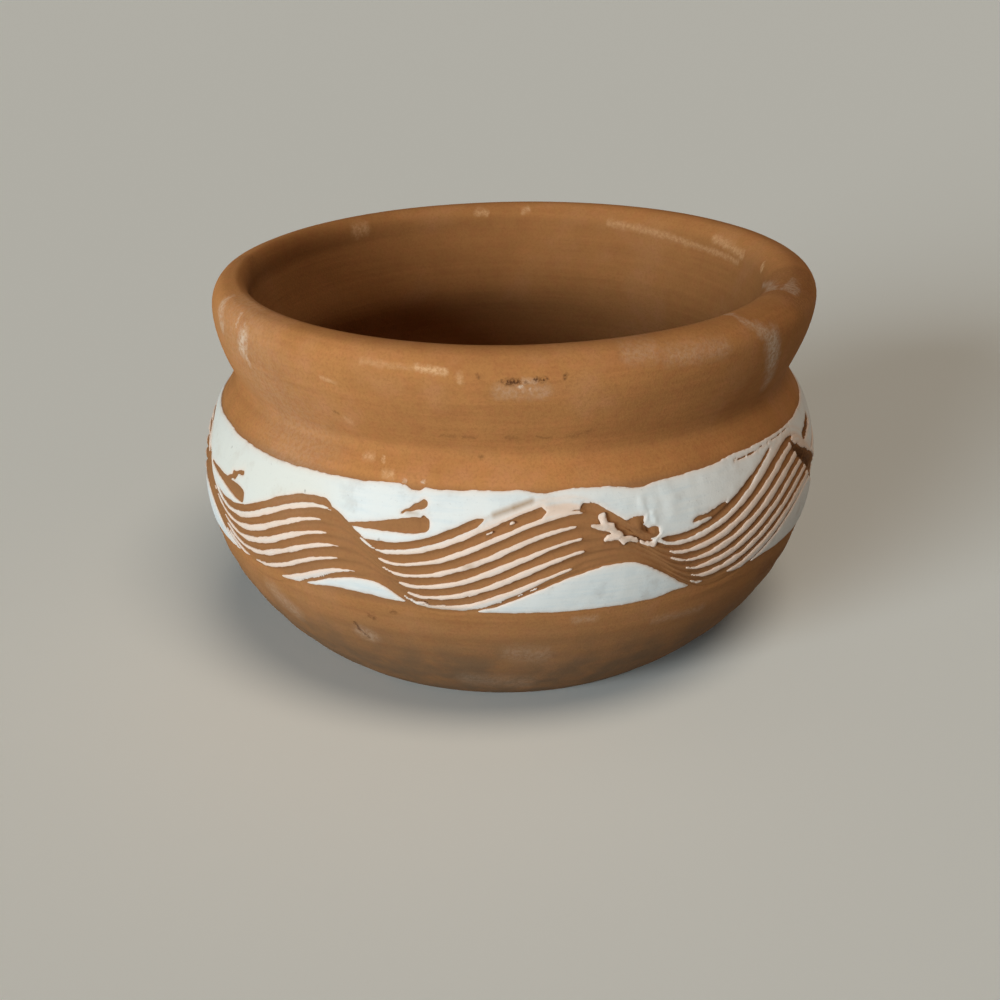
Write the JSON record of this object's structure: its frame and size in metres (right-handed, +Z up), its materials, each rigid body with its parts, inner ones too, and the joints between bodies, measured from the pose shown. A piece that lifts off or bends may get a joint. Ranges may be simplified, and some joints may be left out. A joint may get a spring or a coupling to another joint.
{
  "type": "terracotta planter",
  "caption": "Round thrown terracotta planter with a bellied body, a flared collar and lip, a drain hole, and a band of white slip combed into running waves.",
  "frame": {"origin": "middle of the flat foot, on the ground", "axes": "+Z up along the pot's axis, -Y towards the viewer of the picture, +X to that viewer's right"},
  "size_m": [0.118, 0.118, 0.0712],
  "materials": {
    "fired_clay": "unglazed low-fired earthenware, matt orange brown, with fine throwing lines and pale bloom",
    "white_slip": "matt white slip, brushed on thin and combed while wet"
  },
  "bodies": {
    "root": {"clay_pot": "fired_clay", "slip_upper_field": "white_slip", "slip_lower_island_1": "white_slip", "slip_ridge_1_1": "white_slip", "slip_ridge_1_2": "white_slip", "slip_ridge_1_3": "white_slip", "slip_ridge_1_4": "white_slip", "slip_ridge_1_5": "white_slip", "slip_ridge_1_6": "white_slip", "slip_lower_island_2": "white_slip", "slip_ridge_2_1": "white_slip", "slip_ridge_2_2": "white_slip", "slip_ridge_2_3": "white_slip", "slip_ridge_2_4": "white_slip", "slip_ridge_2_5": "white_slip", "slip_ridge_2_6": "white_slip", "slip_lower_island_3": "white_slip", "slip_ridge_3_1": "white_slip", "slip_ridge_3_2": "white_slip", "slip_ridge_3_3": "white_slip", "slip_ridge_3_4": "white_slip", "slip_ridge_3_5": "white_slip", "slip_ridge_3_6": "white_slip", "slip_lower_island_4": "white_slip", "slip_ridge_4_1": "white_slip", "slip_ridge_4_2": "white_slip", "slip_ridge_4_3": "white_slip", "slip_ridge_4_4": "white_slip", "slip_ridge_4_5": "white_slip", "slip_ridge_4_6": "white_slip", "slip_lower_island_5": "white_slip", "slip_ridge_5_1": "white_slip", "slip_ridge_5_2": "white_slip", "slip_ridge_5_3": "white_slip", "slip_ridge_5_4": "white_slip", "slip_ridge_5_5": "white_slip", "slip_ridge_5_6": "white_slip", "slip_lower_island_6": "white_slip", "slip_ridge_6_1": "white_slip", "slip_ridge_6_2": "white_slip", "slip_ridge_6_3": "white_slip", "slip_ridge_6_4": "white_slip", "slip_ridge_6_5": "white_slip", "slip_ridge_6_6": "white_slip", "slip_lower_island_7": "white_slip", "slip_ridge_7_1": "white_slip", "slip_ridge_7_2": "white_slip", "slip_ridge_7_3": "white_slip", "slip_ridge_7_4": "white_slip", "slip_ridge_7_5": "white_slip", "slip_ridge_7_6": "white_slip", "slip_lower_island_8": "white_slip", "slip_ridge_8_1": "white_slip", "slip_ridge_8_2": "white_slip", "slip_ridge_8_3": "white_slip", "slip_ridge_8_4": "white_slip", "slip_ridge_8_5": "white_slip", "slip_ridge_8_6": "white_slip"}
  },
  "joints": []
}
